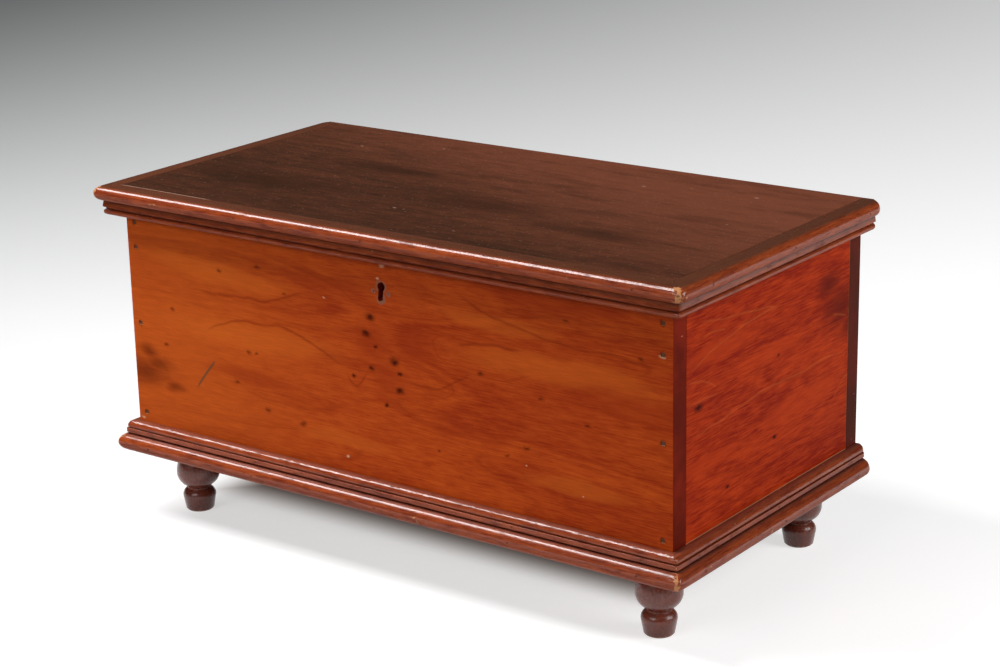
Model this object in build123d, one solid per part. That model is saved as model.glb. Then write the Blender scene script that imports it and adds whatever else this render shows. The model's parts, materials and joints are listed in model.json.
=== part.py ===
from build123d import *
import math
import os

# A small blanket chest on four turned feet, with a hinged lid and a box lock.
# Millimetres. X runs along the length, the front faces -Y, and Z is up from the floor.
# The origin is the middle of the whole chest's footprint, on the floor.

# Case: front and back boards run the full length, and the end boards stand between them
case_length = 580.0
case_depth = 301.0
case_height = 222.0
board_thickness = 19.0
bottom_thickness = 15.6

# Base: a half-round nosing round the bottom board, and an ovolo strip on the case above it
base_nosing_projection = 16.2
base_moulding_height = 12.7
base_moulding_projection = 9.6
base_moulding_top_flat = 3.4
ovolo_height = 5.9
ovolo_edge = 0.8
ovolo_set_back = 0.8
fillet_height = 4.2
fillet_bottom = 1.4
base_quirk_depth = 1.8

# Feet: a ball on a tight cove, and a tapered toe with a sharp collar
foot_height = 62.8
foot_inset = 35.6
foot_ball_radius = 20.0
foot_ball_height = 36.8
foot_ball_upper_curve = 30.0
foot_ball_lower_curve = 14.3
foot_top_radius = 12.0
foot_neck_radius = 10.5
foot_neck_curve = 3.7
foot_collar_radius = 15.2
foot_collar_height = 13.5
foot_shoulder_bulge = 1.1
foot_toe_radius = 13.0
foot_toe_chamfer = 1.4
foot_tenon_radius = 8.0
foot_tenon_length = 10.0

# Lid: a board the size of the case, with a half-round nosing and a lip moulding under it
lid_thickness = 13.1
lid_nosing_projection = 21.0
lid_side_clearance = 1.5
lip_height = 13.1
lip_projection = 15.0
lip_top_set_back = 1.0
lip_quirk_depth = 2.2
lip_quirk_height = 1.2
lip_bead_height = 5.5
lip_bead_set_back = 0.6

# Hinges: two butt hinges let in half a knuckle deep above and below the joint
hinge_width = 50.0
hinge_end_distance = 92.0
hinge_leaf_depth = 15.0
hinge_leaf_thickness = 1.5
hinge_knuckle_radius = 2.75
hinge_pin_radius = 1.25
hinge_pin_behind_case = 1.5
hinge_knuckles = 5
hinge_screw_spread = 17.0
hinge_screw_rows = (10.5, 6.5, 10.5)

# Screws: countersunk, with a slot
screw_radius = 1.2
screw_head_radius = 2.3
screw_head_height = 1.1
screw_slot_width = 0.6
screw_slot_depth = 0.5
hinge_case_screw_length = 14.0
hinge_lid_screw_length = 8.5
lock_screw_length = 11.0
link_screw_length = 8.0

# Keyhole, cut by hand a little to the right of the middle and a little out of upright
keyhole_from_middle = 3.2
keyhole_pin_below_top = 36.8
keyhole_round_radius = 3.7
keyhole_slot_width = 4.6
keyhole_foot_radius = 2.8
keyhole_length = 17.0
keyhole_lean = 5.0
escutcheon_pin_radius = 0.6
escutcheon_pin_depth = 6.0
escutcheon_pin_spread = 8.0
escutcheon_pin_below = 5.0

# Lock: a plate bent over the top edge, with the works in a box behind it
lock_plate_width = 76.0
lock_plate_height = 53.0
lock_plate_thickness = 1.6
lock_selvage_thickness = 1.8
lock_selvage_depth = 13.0
lock_case_width = 65.4
lock_case_height = 46.0
lock_case_depth = 9.6
lock_case_wall = 1.2
lock_screw_margin = 2.6
lock_pin_radius = 1.5

# Bolt: a bar that slides to the right under the selvage, with a finger for each loop
bolt_travel = 6.5
bolt_thickness = 3.4
bolt_bar_length = 54.0
bolt_bar_height = 9.0
bolt_bar_top = 11.2
bolt_finger_height = 3.4
bolt_finger_length = 6.5
bolt_upright_width = 4.0
bolt_tail_width = 17.0
bolt_tail_height = 9.0
bolt_talon_width = 7.0
bolt_talon_depth = 3.5
bolt_stud_radius = 1.4
bolt_stud_spread = 15.0
bolt_spring_thickness = 0.7
bolt_spring_length = 14.0

# Link plate on the lid, with two loops that drop through the selvage
link_plate_length = 66.0
link_plate_width = 12.6
link_plate_thickness = 1.6
loop_spread = 18.0
loop_thickness = 3.0
loop_width = 7.0
loop_length = 9.9
loop_hole_width = 4.2
loop_hole_height = 4.4
loop_hole_below_lid = 6.0
link_screw_spread = 28.0

# Nails and brads, cut square. The corner nails' heights are shares of the face from moulding to lid
nail_width = 2.0
nail_head_width = 3.2
nail_head_height = 1.0
nail_length = 38.0
nail_sunk = 0.5
left_nail_shares = (0.043, 0.453, 0.793, 0.902)
right_nail_shares = (0.035, 0.424, 0.769, 0.891)
bottom_nail_from_middle = (90.0, 230.0)
bottom_nail_end_distance = 80.0
brad_width = 1.4
brad_sunk = 0.4
moulding_brad_length = 18.0
nosing_brad_length = 30.0
lip_brad_length = 19.0
brad_spacing = 140.0
brad_corner_distance = 24.0
lip_brad_from_middle = (70.0, 210.0)
lip_brad_end_distance = 60.0

# Fits
fit = 0.05
slot_clearance = 0.4
bolt_clearance = 0.8
spring_gap = 0.3
knuckle_gap = 0.3
gain_clearance = 0.2

# How far a cutter runs past the faces that it cuts
cutter_overrun = 1.0

# Places worked out from the sizes
half_length = case_length / 2
pin_behind_front = case_depth + hinge_pin_behind_case
whole_depth = lid_nosing_projection + pin_behind_front + hinge_knuckle_radius
front_y = lid_nosing_projection - whole_depth / 2
back_y = front_y + case_depth
inner_front_y = front_y + board_thickness
inner_back_y = back_y - board_thickness
inner_half_length = half_length - board_thickness
pin_y = front_y + pin_behind_front
case_bottom_z = foot_height + bottom_thickness
moulding_top_z = case_bottom_z + base_moulding_height
case_top_z = case_bottom_z + case_height
lid_top_z = case_top_z + lid_thickness
lip_bottom_z = case_top_z - lip_height
foot_x = half_length - foot_inset
foot_front_y = front_y + foot_inset
foot_back_y = back_y - foot_inset
brad_xs = (0.0, -brad_spacing, brad_spacing, brad_corner_distance - half_length,
           half_length - brad_corner_distance)
brad_ys = (front_y + brad_corner_distance, (front_y + back_y) / 2, back_y - brad_corner_distance)


# What is turned or driven stands on the middle of its lower end
seat = (Align.CENTER, Align.CENTER, Align.MIN)


def block(x0, x1, y0, y1, z0, z1):
    centre = Pos((x0 + x1) / 2, (y0 + y1) / 2, (z0 + z1) / 2)
    return centre * Box(x1 - x0, y1 - y0, z1 - z0)


def rod(start, direction, radius, length):
    return Plane(origin=start, z_dir=direction) * Cylinder(radius, length, align=seat)


def bar(start, direction, width, length):
    return Plane(origin=start, z_dir=direction) * Box(width, width, length, align=seat)


def export(name, shape):
    os.makedirs("parts", exist_ok=True)
    export_step(shape, f"parts/{name}.step")
    print(name, round(shape.volume, 1))


def export_group(name, shapes):
    export(name, Compound(children=shapes))


# Nails and brads start on the face that they are driven into, and are punched a little below it
def nail(start, direction):
    top = Vector(*start) + Vector(*direction) * nail_sunk
    head = bar(top, direction, nail_head_width, nail_head_height)
    return head + bar(top, direction, nail_width, nail_length)


def nail_hole(start, direction):
    head = bar(start, direction, nail_head_width + 2 * fit, nail_sunk + nail_head_height + fit)
    return head + bar(start, direction, nail_width + 2 * fit, nail_sunk + nail_length + fit)


def brad(start, direction, length):
    top = Vector(*start) + Vector(*direction) * brad_sunk
    return bar(top, direction, brad_width, length)


def brad_hole(start, direction, length):
    return bar(start, direction, brad_width + 2 * fit, brad_sunk + length + fit)


# Screws: the head's top is at the start point
def screw_blank(start, direction, length, extra=0.0):
    body = Cylinder(screw_radius + extra, length, align=seat)
    body += Cone(screw_head_radius + extra, screw_radius + extra, screw_head_height, align=seat)
    return Plane(origin=start, z_dir=direction) * body


def screw(start, direction, length):
    slot = Box(2 * screw_head_radius, screw_slot_width, screw_slot_depth, align=seat)
    return screw_blank(start, direction, length) - Plane(origin=start, z_dir=direction) * slot


def screw_holes(shape, places, length):
    for start, direction in places:
        shape -= screw_blank(start, direction, length + fit, fit)
    return shape


# Places of the nails, brads and screws, each a start point and a direction
down = (0, 0, -1)
up = (0, 0, 1)
back = (0, 1, 0)
forward = (0, -1, 0)
nail_x = half_length - board_thickness / 2
front_nail_places = []
back_nail_places = []
for side, shares in ((-1, left_nail_shares), (1, right_nail_shares)):
    for share in shares:
        z = moulding_top_z + share * (case_top_z - moulding_top_z)
        front_nail_places.append(((side * nail_x, front_y, z), back))
        back_nail_places.append(((side * nail_x, back_y, z), forward))

bottom_nail_places = []
for side in (-1, 1):
    for distance in bottom_nail_from_middle:
        for y in (front_y + board_thickness / 2, back_y - board_thickness / 2):
            bottom_nail_places.append(((side * distance, y, foot_height), up))
    for y in (front_y + bottom_nail_end_distance, back_y - bottom_nail_end_distance):
        bottom_nail_places.append(((side * nail_x, y, foot_height), up))


def edge_brads(projection, height):
    places = [((x, front_y - projection, height), back) for x in brad_xs]
    for side in (-1, 1):
        x = side * (half_length + projection)
        places += [((x, y, height), (-side, 0, 0)) for y in brad_ys]
    return places


fillet_middle_z = case_bottom_z + fillet_bottom + fillet_height / 2
moulding_brad_places = edge_brads(base_moulding_projection, fillet_middle_z)
base_nosing_brad_places = edge_brads(base_nosing_projection, foot_height + bottom_thickness / 2)
lid_nosing_brad_places = edge_brads(lid_nosing_projection, case_top_z + lid_thickness / 2)

lip_middle = (lid_side_clearance + lip_projection) / 2
lip_brad_places = []
for side in (-1, 1):
    for distance in lip_brad_from_middle:
        lip_brad_places.append(((side * distance, front_y - lip_middle, lip_bottom_z), up))
    x = side * (half_length + lip_middle)
    for y in (front_y + lip_brad_end_distance, back_y - lip_brad_end_distance):
        lip_brad_places.append(((x, y, lip_bottom_z), up))


def nail_holes(shape, places):
    for start, direction in places:
        shape -= nail_hole(start, direction)
    return shape


def brad_holes(shape, places, length):
    for start, direction in places:
        shape -= brad_hole(start, direction, length)
    return shape


def near(places, axis, low, high):
    return [place for place in places if low <= place[0][axis] <= high]


# Mouldings: a section is drawn as outward distance and height, and set on the front or right face
front_face = Plane(origin=(0, front_y, 0), x_dir=(0, -1, 0), z_dir=(-1, 0, 0))
right_face = Plane(origin=(half_length, back_y, 0), x_dir=(1, 0, 0), z_dir=(0, -1, 0))
right_mitre = Plane(origin=(half_length, front_y, 0), z_dir=(1, 1, 0))
left_mitre = Plane(origin=(-half_length, front_y, 0), z_dir=(-1, 1, 0))


def front_strip(section, projection):
    strip = extrude(front_face * section, amount=half_length + projection, both=True)
    strip = split(strip, bisect_by=right_mitre, keep=Keep.BOTTOM)
    return split(strip, bisect_by=left_mitre, keep=Keep.BOTTOM)


def right_strip(section, projection):
    strip = extrude(right_face * section, amount=case_depth + projection)
    return split(strip, bisect_by=right_mitre, keep=Keep.TOP)


def nosing_section(inner, outer, low, high):
    radius = (high - low) / 2
    outline = Line((inner, low), (outer - radius, low))
    outline += ThreePointArc((outer - radius, low), (outer, low + radius), (outer - radius, high))
    outline += Polyline((outer - radius, high), (inner, high), (inner, low))
    return make_face(outline)


def base_moulding_section():
    face = base_moulding_projection
    quirk = face - base_quirk_depth
    ovolo = face - ovolo_set_back
    flat = base_moulding_top_flat
    low = case_bottom_z
    fillet_top = low + fillet_bottom + fillet_height
    ovolo_bottom = moulding_top_z - ovolo_height
    arc_bottom = ovolo_bottom + ovolo_edge
    outline = Polyline((flat, moulding_top_z), (0, moulding_top_z), (0, low), (quirk, low),
                       (quirk, low + fillet_bottom), (face, low + fillet_bottom), (face, fillet_top),
                       (quirk, fillet_top), (quirk, ovolo_bottom), (ovolo, ovolo_bottom), (ovolo, arc_bottom))
    outline += EllipticalCenterArc((flat, arc_bottom), ovolo - flat, moulding_top_z - arc_bottom, 0,
                                   arc_size=90)
    return make_face(outline)


def lip_section():
    inner = lid_side_clearance
    low = lip_bottom_z
    bead_top = low + lip_bead_height
    bead_radius = lip_bead_height / 2
    bead_root = lip_projection - lip_bead_set_back - bead_radius
    quirk = lip_projection - lip_quirk_depth
    fascia_low = bead_top + lip_quirk_height
    outline = ThreePointArc((bead_root, low), (bead_root + bead_radius, low + bead_radius),
                            (bead_root, bead_top))
    outline += Polyline((bead_root, bead_top), (quirk, bead_top), (quirk, fascia_low),
                        (lip_projection, fascia_low + lip_quirk_height / 2),
                        (lip_projection - lip_top_set_back, case_top_z),
                        (inner, case_top_z), (inner, low), (bead_root, low))
    return make_face(outline)


def make_strips(name, section, projection, places, length):
    front = brad_holes(front_strip(section, projection), near(places, 1, -whole_depth, front_y), length)
    right = brad_holes(right_strip(section, projection), near(places, 0, half_length, case_length), length)
    export(f"{name}_front", front)
    export(f"{name}_right", right)
    export(f"{name}_left", mirror(right, about=Plane.YZ))


# Bottom board, with a hole for each foot's tenon
def make_bottom_board():
    board = block(-half_length, half_length, front_y, back_y, foot_height, case_bottom_z)
    for x in (-foot_x, foot_x):
        for y in (foot_front_y, foot_back_y):
            board -= rod((x, y, foot_height), up, foot_tenon_radius + fit, foot_tenon_length + fit)
    board = nail_holes(board, bottom_nail_places)
    export("bottom_board", brad_holes(board, base_nosing_brad_places, nosing_brad_length))


# End boards stand between the front and back boards
def make_end_boards():
    for name, side in (("left", -1), ("right", 1)):
        low, high = sorted((side * inner_half_length, side * half_length))
        board = block(low, high, inner_front_y, inner_back_y, case_bottom_z, case_top_z)
        board = nail_holes(board, near(front_nail_places + back_nail_places, 0, low, high))
        board = nail_holes(board, near(bottom_nail_places, 0, low, high))
        low, high = sorted((side * half_length, side * case_length))
        side_brads = near(moulding_brad_places, 0, low, high)
        export(f"{name}_end_board", brad_holes(board, side_brads, moulding_brad_length))


# Keyhole: a round above a slot with a wider foot, measured from the pin's centre
keyhole_x = keyhole_from_middle
keyhole_z = case_top_z - keyhole_pin_below_top


def keyhole_cutter(y0, y1, lean):
    foot_drop = keyhole_length - keyhole_round_radius - keyhole_foot_radius
    cutter = rod((0, y0, 0), back, keyhole_round_radius, y1 - y0)
    cutter += rod((0, y0, -foot_drop), back, keyhole_foot_radius, y1 - y0)
    cutter += block(-keyhole_slot_width / 2, keyhole_slot_width / 2, y0, y1, -foot_drop, 0)
    return Pos(keyhole_x, 0, keyhole_z) * Rot(0, lean, 0) * cutter


# Lock places: the plate lies flush in the inner face, and the box stands in front of it
lock_plate_y = inner_front_y - lock_plate_thickness
lock_case_y = lock_plate_y - lock_case_depth
lock_selvage_z = case_top_z - lock_selvage_thickness
lock_plate_bottom_z = case_top_z - lock_plate_height
lock_case_bottom_z = lock_selvage_z - lock_case_height
lock_left = keyhole_x - lock_plate_width / 2
lock_right = keyhole_x + lock_plate_width / 2
case_left = keyhole_x - lock_case_width / 2
case_right = keyhole_x + lock_case_width / 2
works_y = (lock_plate_y + lock_case_y + lock_case_wall) / 2
loop_xs = (keyhole_x - loop_spread, keyhole_x + loop_spread)
lock_screw_places = []
for x in (lock_left + lock_screw_margin, lock_right - lock_screw_margin):
    for z in (lock_plate_bottom_z + lock_screw_margin, lock_selvage_z - 2 * lock_screw_margin):
        lock_screw_places.append(((x, inner_front_y, z), forward))


def selvage():
    y0 = inner_front_y - lock_selvage_depth
    return block(lock_left, lock_right, y0, inner_front_y, lock_selvage_z, case_top_z)


def make_front_board():
    board = block(-half_length, half_length, front_y, inner_front_y, case_bottom_z, case_top_z)
    board = nail_holes(board, front_nail_places + near(bottom_nail_places, 1, front_y, inner_front_y))
    front_brads = near(moulding_brad_places, 1, -whole_depth, front_y)
    board = brad_holes(board, front_brads, moulding_brad_length)
    board -= keyhole_cutter(front_y - cutter_overrun, lock_case_y + cutter_overrun, keyhole_lean)
    board -= block(lock_left, lock_right, lock_plate_y, inner_front_y, lock_plate_bottom_z, case_top_z)
    board -= block(case_left, case_right, lock_case_y, inner_front_y, lock_case_bottom_z, case_top_z)
    board -= selvage()
    board = screw_holes(board, lock_screw_places, lock_screw_length)
    for side in (-1, 1):
        start = (keyhole_x + side * escutcheon_pin_spread, front_y, keyhole_z - escutcheon_pin_below)
        board -= rod(start, back, escutcheon_pin_radius, escutcheon_pin_depth)
    export("front_board", board)


# Lock plate: the upright plate and the selvage are one bent piece, with a slot for each loop
def make_lock_plate():
    plate = block(lock_left, lock_right, lock_plate_y, inner_front_y, lock_plate_bottom_z, case_top_z)
    plate += selvage()
    half_x = loop_thickness / 2 + slot_clearance
    half_y = loop_width / 2 + slot_clearance
    for x in loop_xs:
        plate -= block(x - half_x, x + half_x, works_y - half_y, works_y + half_y, lock_selvage_z, case_top_z)
    export("lock_plate", screw_holes(plate, lock_screw_places, lock_screw_length))


def make_lock_case():
    shell = block(case_left, case_right, lock_case_y, lock_plate_y, lock_case_bottom_z, lock_selvage_z)
    wall = lock_case_wall
    shell -= block(case_left + wall, case_right - wall, lock_case_y + wall, lock_plate_y,
                   lock_case_bottom_z + wall, lock_selvage_z)
    shell -= keyhole_cutter(lock_case_y - cutter_overrun, lock_case_y + wall + cutter_overrun, keyhole_lean)
    export("lock_case", shell)
    start = (keyhole_x, lock_plate_y, keyhole_z)
    export("lock_key_pin", rod(start, forward, lock_pin_radius, lock_case_depth - lock_case_wall))


# Bolt: at rest it is drawn back, with each finger's tip just short of its loop
def stud_z():
    return case_top_z - bolt_bar_top - bolt_bar_height / 2


def make_bolt():
    y0 = works_y - bolt_thickness / 2
    y1 = works_y + bolt_thickness / 2
    bar_top = case_top_z - bolt_bar_top
    bar_bottom = bar_top - bolt_bar_height
    finger_z = case_top_z - loop_hole_below_lid
    finger_tops = [x - loop_thickness / 2 - bolt_clearance for x in loop_xs]
    bar_left = finger_tops[0] - bolt_finger_length - bolt_upright_width
    bolt = block(bar_left, bar_left + bolt_bar_length, y0, y1, bar_bottom, bar_top)
    for tip in finger_tops:
        upright_left = tip - bolt_finger_length - bolt_upright_width
        finger_low = finger_z - bolt_finger_height / 2
        finger_high = finger_z + bolt_finger_height / 2
        bolt += block(upright_left, tip, y0, y1, finger_low, finger_high)
        bolt += block(upright_left, upright_left + bolt_upright_width, y0, y1, bar_top, finger_high)
    tail_bottom = bar_bottom - bolt_tail_height
    tail_left = keyhole_x - bolt_tail_width / 2 - bolt_travel / 2
    bolt += block(tail_left, tail_left + bolt_tail_width, y0, y1, tail_bottom, bar_bottom)
    talon_x = tail_left + bolt_tail_width / 2
    bolt -= block(talon_x - bolt_talon_width / 2, talon_x + bolt_talon_width / 2, y0, y1,
                  tail_bottom, tail_bottom + bolt_talon_depth)
    slot_radius = bolt_stud_radius + fit
    for x in stud_xs():
        slot = block(x - bolt_travel, x, y0, y1, stud_z() - slot_radius, stud_z() + slot_radius)
        slot += rod((x, y0, stud_z()), back, slot_radius, bolt_thickness)
        slot += rod((x - bolt_travel, y0, stud_z()), back, slot_radius, bolt_thickness)
        bolt -= slot
    export("lock_bolt", bolt)


def stud_xs():
    middle = keyhole_x - bolt_upright_width / 2
    return (middle - bolt_stud_spread, middle + bolt_stud_spread)


def make_bolt_studs():
    length = lock_case_depth - lock_case_wall
    studs = [rod((x, lock_plate_y, stud_z()), forward, bolt_stud_radius, length) for x in stud_xs()]
    export_group("lock_bolt_studs", studs)


# Bolt spring: a bowed leaf under the selvage that bears on the bar's top edge
def make_bolt_spring():
    low = case_top_z - bolt_bar_top + spring_gap
    middle = keyhole_x - bolt_spring_length / 2 + bolt_travel / 2
    half = bolt_spring_length / 2
    inner_half = half - bolt_spring_thickness
    outline = ThreePointArc((-half, lock_selvage_z), (0, low), (half, lock_selvage_z))
    outline += Line((half, lock_selvage_z), (inner_half, lock_selvage_z))
    outline += ThreePointArc((inner_half, lock_selvage_z), (0, low + bolt_spring_thickness),
                             (-inner_half, lock_selvage_z))
    outline += Line((-inner_half, lock_selvage_z), (-half, lock_selvage_z))
    section = Plane(origin=(middle, works_y, 0), x_dir=(1, 0, 0), z_dir=forward) * make_face(outline)
    export("lock_bolt_spring", extrude(section, amount=bolt_thickness / 2, both=True))


# Link plate: let in flush with the lid's underside, above the lock
def link_plate_block():
    half = link_plate_length / 2
    y0 = works_y - link_plate_width / 2
    return block(keyhole_x - half, keyhole_x + half, y0, y0 + link_plate_width,
                 case_top_z, case_top_z + link_plate_thickness)


link_screw_places = [((keyhole_x + side * link_screw_spread, works_y, case_top_z), up) for side in (-1, 1)]


def make_link_plate():
    plate = screw_holes(link_plate_block(), link_screw_places, link_screw_length)
    hole_z = case_top_z - loop_hole_below_lid
    for x in loop_xs:
        x0 = x - loop_thickness / 2
        x1 = x + loop_thickness / 2
        loop = block(x0, x1, works_y - loop_width / 2, works_y + loop_width / 2,
                     case_top_z - loop_length, case_top_z)
        loop -= block(x0, x1, works_y - loop_hole_width / 2, works_y + loop_hole_width / 2,
                      hole_z - loop_hole_height / 2, hole_z + loop_hole_height / 2)
        plate += loop
    export("link_plate", plate)


# Hinges: the same leaf serves above and below, with alternate knuckles
hinge_xs = (hinge_end_distance - half_length, half_length - hinge_end_distance)


def hinge_screw_places(x, z, direction):
    places = []
    for offset, row in zip((-hinge_screw_spread, 0, hinge_screw_spread), hinge_screw_rows):
        places.append(((x + offset, back_y - row, z), direction))
    return places


case_screw_z = case_top_z - hinge_knuckle_radius + hinge_leaf_thickness
lid_screw_z = case_top_z + hinge_knuckle_radius - hinge_leaf_thickness
case_screw_places = hinge_screw_places(hinge_xs[0], case_screw_z, down)
case_screw_places += hinge_screw_places(hinge_xs[1], case_screw_z, down)
lid_screw_places = hinge_screw_places(hinge_xs[0], lid_screw_z, up)
lid_screw_places += hinge_screw_places(hinge_xs[1], lid_screw_z, up)


def hinge_leaf(x, low, high, first_knuckle):
    plate_back = pin_y - hinge_knuckle_radius - knuckle_gap
    leaf = block(x - hinge_width / 2, x + hinge_width / 2, back_y - hinge_leaf_depth, plate_back, low, high)
    pitch = hinge_width / hinge_knuckles
    for index in range(first_knuckle, hinge_knuckles, 2):
        x0 = x - hinge_width / 2 + index * pitch + knuckle_gap / 2
        x1 = x0 + pitch - knuckle_gap
        leaf += block(x0, x1, plate_back, pin_y, low, high)
        leaf += rod((x0, pin_y, case_top_z), (1, 0, 0), hinge_knuckle_radius, x1 - x0)
    bore_start = (x - hinge_width / 2, pin_y, case_top_z)
    return leaf - rod(bore_start, (1, 0, 0), hinge_pin_radius + fit, hinge_width)


def make_hinges():
    for name, x in (("left", hinge_xs[0]), ("right", hinge_xs[1])):
        case_leaf = hinge_leaf(x, case_top_z - hinge_knuckle_radius, case_screw_z, 0)
        case_leaf = screw_holes(case_leaf, hinge_screw_places(x, case_screw_z, down), hinge_case_screw_length)
        lid_leaf = hinge_leaf(x, lid_screw_z, case_top_z + hinge_knuckle_radius, 1)
        lid_leaf = screw_holes(lid_leaf, hinge_screw_places(x, lid_screw_z, up), hinge_lid_screw_length)
        pin_start = (x - hinge_width / 2, pin_y, case_top_z)
        export(f"hinge_{name}_case_leaf", case_leaf)
        export(f"hinge_{name}_lid_leaf", lid_leaf)
        export(f"hinge_{name}_pin", rod(pin_start, (1, 0, 0), hinge_pin_radius, hinge_width))


def hinge_gains(low, high):
    half = hinge_width / 2 + gain_clearance
    gains = []
    for x in hinge_xs:
        gains.append(block(x - half, x + half, back_y - hinge_leaf_depth - gain_clearance, back_y, low, high))
    return gains


def make_back_board():
    board = block(-half_length, half_length, inner_back_y, back_y, case_bottom_z, case_top_z)
    board = nail_holes(board, back_nail_places + near(bottom_nail_places, 1, inner_back_y, back_y))
    for gain in hinge_gains(case_top_z - hinge_knuckle_radius, case_top_z):
        board -= gain
    export("back_board", screw_holes(board, case_screw_places, hinge_case_screw_length))


def make_lid_board():
    reach = lid_side_clearance
    board = block(-half_length - reach, half_length + reach, front_y - reach, back_y, case_top_z, lid_top_z)
    for gain in hinge_gains(case_top_z, case_top_z + hinge_knuckle_radius):
        board -= gain
    board = screw_holes(board, lid_screw_places, hinge_lid_screw_length)
    board = screw_holes(board - link_plate_block(), link_screw_places, link_screw_length)
    export("lid_board", brad_holes(board, lid_nosing_brad_places, nosing_brad_length))


# Turned foot, drawn as half its outline from the floor up
def make_feet():
    # The cove at the neck meets the ball's lower curve without a corner
    lower_x = foot_ball_radius - foot_ball_lower_curve
    cove_x = foot_neck_radius + foot_neck_curve
    cove_drop = ((foot_ball_lower_curve + foot_neck_curve) ** 2 - (cove_x - lower_x) ** 2) ** 0.5
    lower_turn = math.degrees(math.atan2(cove_drop, cove_x - lower_x))
    neck_z = foot_ball_height - cove_drop
    upper_x = foot_ball_radius - foot_ball_upper_curve
    upper_turn = math.degrees(math.acos((foot_top_radius - upper_x) / foot_ball_upper_curve))
    ball_top = foot_ball_height + (foot_ball_upper_curve ** 2 - (foot_top_radius - upper_x) ** 2) ** 0.5
    shoulder_mid = ((foot_neck_radius + foot_collar_radius) / 2 + foot_shoulder_bulge,
                    (neck_z + foot_collar_height) / 2 + foot_shoulder_bulge)
    tenon_top = foot_height + foot_tenon_length
    outline = Polyline((0, 0), (foot_toe_radius - foot_toe_chamfer, 0), (foot_toe_radius, foot_toe_chamfer),
                       (foot_collar_radius, foot_collar_height))
    outline += ThreePointArc((foot_collar_radius, foot_collar_height), shoulder_mid,
                             (foot_neck_radius, neck_z))
    outline += CenterArc((cove_x, neck_z), foot_neck_curve, 180 - lower_turn, lower_turn)
    outline += CenterArc((lower_x, foot_ball_height), foot_ball_lower_curve, -lower_turn, lower_turn)
    outline += CenterArc((upper_x, foot_ball_height), foot_ball_upper_curve, 0, upper_turn)
    outline += Polyline((foot_top_radius, ball_top), (foot_top_radius, foot_height),
                        (foot_tenon_radius, foot_height), (foot_tenon_radius, tenon_top),
                        (0, tenon_top), (0, 0))
    foot = revolve(Plane.XZ * make_face(outline), axis=Axis.Z)
    places = {"front_left": (-foot_x, foot_front_y), "front_right": (foot_x, foot_front_y),
              "back_left": (-foot_x, foot_back_y), "back_right": (foot_x, foot_back_y)}
    for name, (x, y) in places.items():
        export(f"foot_{name}", Pos(x, y, 0) * foot)


# Case
make_front_board()
make_back_board()
make_end_boards()
make_bottom_board()
make_strips("base_moulding", base_moulding_section(), base_moulding_projection,
            moulding_brad_places, moulding_brad_length)
make_strips("base_nosing", nosing_section(0, base_nosing_projection, foot_height, case_bottom_z),
            base_nosing_projection, base_nosing_brad_places, nosing_brad_length)
make_feet()

# Lid: the nosing also takes the ends of the brads that hold the lip
make_lid_board()
lid_nosing = nosing_section(lid_side_clearance, lid_nosing_projection, case_top_z, lid_top_z)
lid_nosing_front = brad_holes(front_strip(lid_nosing, lid_nosing_projection),
                              near(lid_nosing_brad_places, 1, -whole_depth, front_y), nosing_brad_length)
lid_nosing_right = brad_holes(right_strip(lid_nosing, lid_nosing_projection),
                              near(lid_nosing_brad_places, 0, half_length, case_length), nosing_brad_length)
right_lip_brads = near(lip_brad_places, 0, half_length, case_length)
front_lip_brads = near(lip_brad_places, 1, -whole_depth, front_y)
lid_nosing_right = brad_holes(lid_nosing_right, right_lip_brads, lip_brad_length)
export("lid_nosing_front", brad_holes(lid_nosing_front, front_lip_brads, lip_brad_length))
export("lid_nosing_right", lid_nosing_right)
export("lid_nosing_left", mirror(lid_nosing_right, about=Plane.YZ))
make_strips("lid_lip", lip_section(), lip_projection, lip_brad_places, lip_brad_length)

# Metalwork
make_hinges()
make_lock_plate()
make_lock_case()
make_bolt()
make_bolt_studs()
make_bolt_spring()
make_link_plate()
export_group("hinge_case_screws", [screw(*place, hinge_case_screw_length) for place in case_screw_places])
export_group("hinge_lid_screws", [screw(*place, hinge_lid_screw_length) for place in lid_screw_places])
export_group("lock_screws", [screw(*place, lock_screw_length) for place in lock_screw_places])
export_group("link_screws", [screw(*place, link_screw_length) for place in link_screw_places])
export_group("front_nails", [nail(*place) for place in front_nail_places])
export_group("back_nails", [nail(*place) for place in back_nail_places])
export_group("bottom_nails", [nail(*place) for place in bottom_nail_places])
export_group("base_moulding_brads", [brad(*place, moulding_brad_length) for place in moulding_brad_places])
export_group("base_nosing_brads", [brad(*place, nosing_brad_length) for place in base_nosing_brad_places])
export_group("lid_nosing_brads", [brad(*place, nosing_brad_length) for place in lid_nosing_brad_places])
export_group("lid_lip_brads", [brad(*place, lip_brad_length) for place in lip_brad_places])
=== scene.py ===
import json
import math

import bmesh
import bpy
from bpy.props import FloatProperty, FloatVectorProperty, PointerProperty
from mathutils import Euler, Matrix, Vector, noise


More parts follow.
